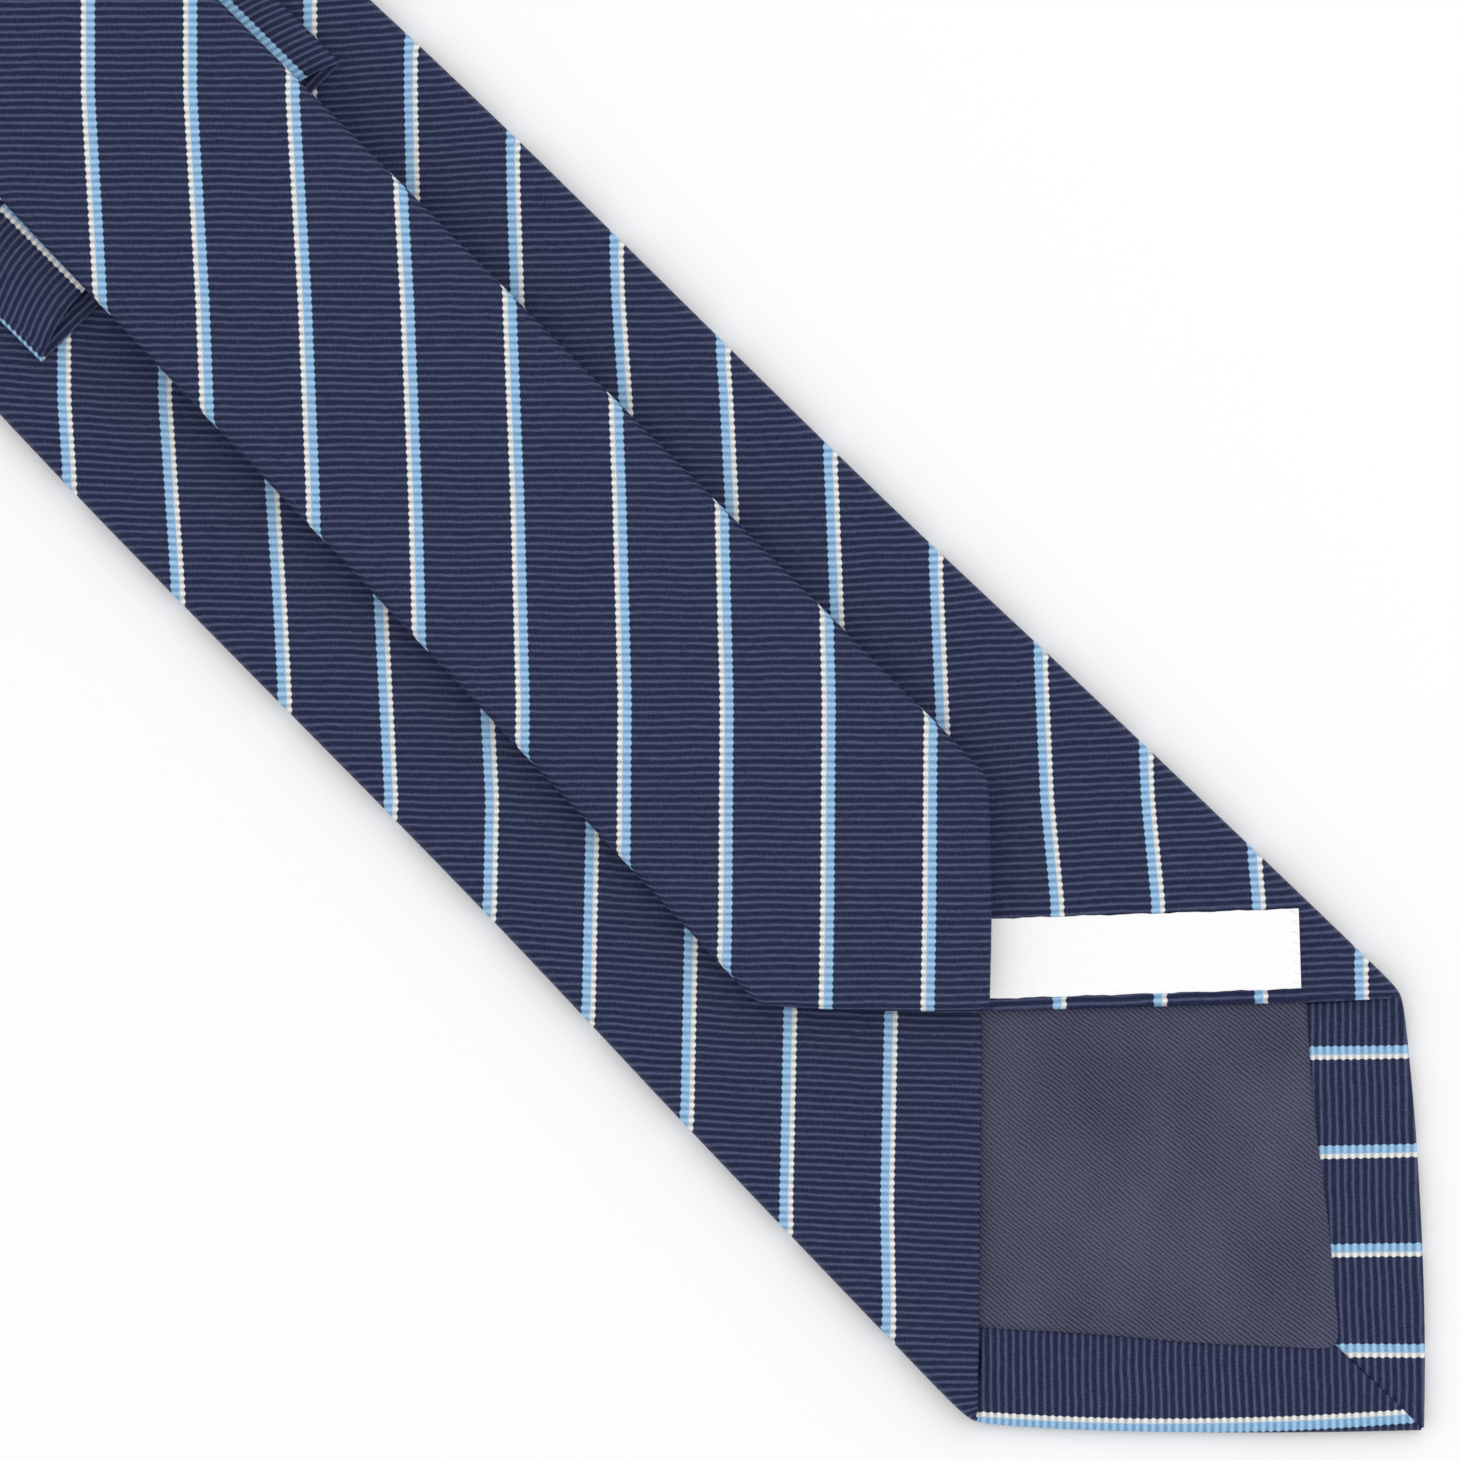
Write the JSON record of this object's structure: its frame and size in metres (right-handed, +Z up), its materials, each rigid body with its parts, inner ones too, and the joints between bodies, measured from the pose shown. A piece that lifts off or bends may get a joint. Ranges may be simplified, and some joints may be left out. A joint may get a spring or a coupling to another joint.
{
  "type": "necktie",
  "caption": "Three-fold silk necktie folded at the neck, wide blade face down, tail on top, with lining, hems, label and keeper loop.",
  "frame": {"origin": "on the surface under the centre of the folded tie's box", "axes": "+X along the tie towards the two points, +Y across it, +Z up from the surface that the wide blade's face lies on"},
  "size_m": [0.7738, 0.0854, 0.0108],
  "materials": {
    "striped_silk": "navy repp silk with narrow light-blue and white stripes",
    "satin_lining": "slate-navy satin",
    "wool_interlining": "brushed wool",
    "woven_label": "white woven tape",
    "label_thread": "white thread",
    "sewing_thread": "navy silk thread"
  },
  "bodies": {
    "blade": {"blade_shell": "striped_silk", "blade_tipping": "satin_lining", "interlining_blade_side": "wool_interlining", "slip_stitch_blade_side": "sewing_thread", "blade_bar_tack": "sewing_thread", "label": "woven_label", "label_stitch_outer": "label_thread", "label_stitch_inner": "label_thread", "neck_shell_blade_side": "striped_silk", "blade_join_thread": "sewing_thread", "keeper_loop_base": "striped_silk", "keeper_turn_left": "striped_silk", "keeper_turn_right": "striped_silk"},
    "keeper_top": {"keeper_loop_top": "striped_silk"},
    "fold_1": {"neck_fold_1": "striped_silk"},
    "fold_2": {"neck_fold_2": "striped_silk"},
    "fold_3": {"neck_fold_3": "striped_silk"},
    "fold_4": {"neck_fold_4": "striped_silk"},
    "fold_5": {"neck_fold_5": "striped_silk"},
    "fold_6": {"neck_fold_6": "striped_silk"},
    "tail": {"neck_shell_tail_side": "striped_silk", "tail_join_thread": "sewing_thread", "tail_shell": "striped_silk", "tail_tipping": "satin_lining", "interlining_tail_side": "wool_interlining", "slip_stitch_tail_side": "sewing_thread", "tail_bar_tack": "sewing_thread"}
  },
  "joints": [
    {"name": "tail_turn", "type": "hinge", "parent": "blade", "child": "tail", "pos_m": [-0.39014, 0, 0.0054], "axis": [0, -1, 0], "range_deg": [0, 180]},
    {"name": "neck_bend_1", "type": "hinge", "parent": "blade", "child": "fold_1", "pos_m": [-0.38291, 0, 0], "axis": [0, -1, 0], "range_deg": [0, 30]},
    {"name": "neck_bend_2", "type": "hinge", "parent": "fold_1", "child": "fold_2", "pos_m": [-0.38541, 0, 0.00145], "axis": [0, -1, 0], "range_deg": [0, 30]},
    {"name": "neck_bend_3", "type": "hinge", "parent": "fold_2", "child": "fold_3", "pos_m": [-0.38686, 0, 0.00395], "axis": [0, -1, 0], "range_deg": [0, 30]},
    {"name": "neck_bend_4", "type": "hinge", "parent": "fold_3", "child": "fold_4", "pos_m": [-0.38686, 0, 0.00685], "axis": [0, -1, 0], "range_deg": [0, 30]},
    {"name": "neck_bend_5", "type": "hinge", "parent": "fold_4", "child": "fold_5", "pos_m": [-0.38541, 0, 0.00935], "axis": [0, -1, 0], "range_deg": [0, 30]},
    {"name": "neck_bend_6", "type": "hinge", "parent": "fold_5", "child": "fold_6", "pos_m": [-0.38291, 0, 0.0108], "axis": [0, -1, 0], "range_deg": [0, 30]},
    {"name": "keeper_lift", "type": "slide", "parent": "blade", "child": "keeper_top", "axis": [0, 0, 1], "range_m": [0, 0.005], "deforming": ["keeper_turn_left", "keeper_turn_right"]}
  ],
  "couplings": [
    {"joint": "neck_bend_1", "follows": "tail_turn", "ratio": 0.16667},
    {"joint": "neck_bend_2", "follows": "tail_turn", "ratio": 0.16667},
    {"joint": "neck_bend_3", "follows": "tail_turn", "ratio": 0.16667},
    {"joint": "neck_bend_4", "follows": "tail_turn", "ratio": 0.16667},
    {"joint": "neck_bend_5", "follows": "tail_turn", "ratio": 0.16667},
    {"joint": "neck_bend_6", "follows": "tail_turn", "ratio": 0.16667},
    {"joint": "keeper_lift", "follows": "tail_turn", "m_per_rad": 0.001591}
  ]
}
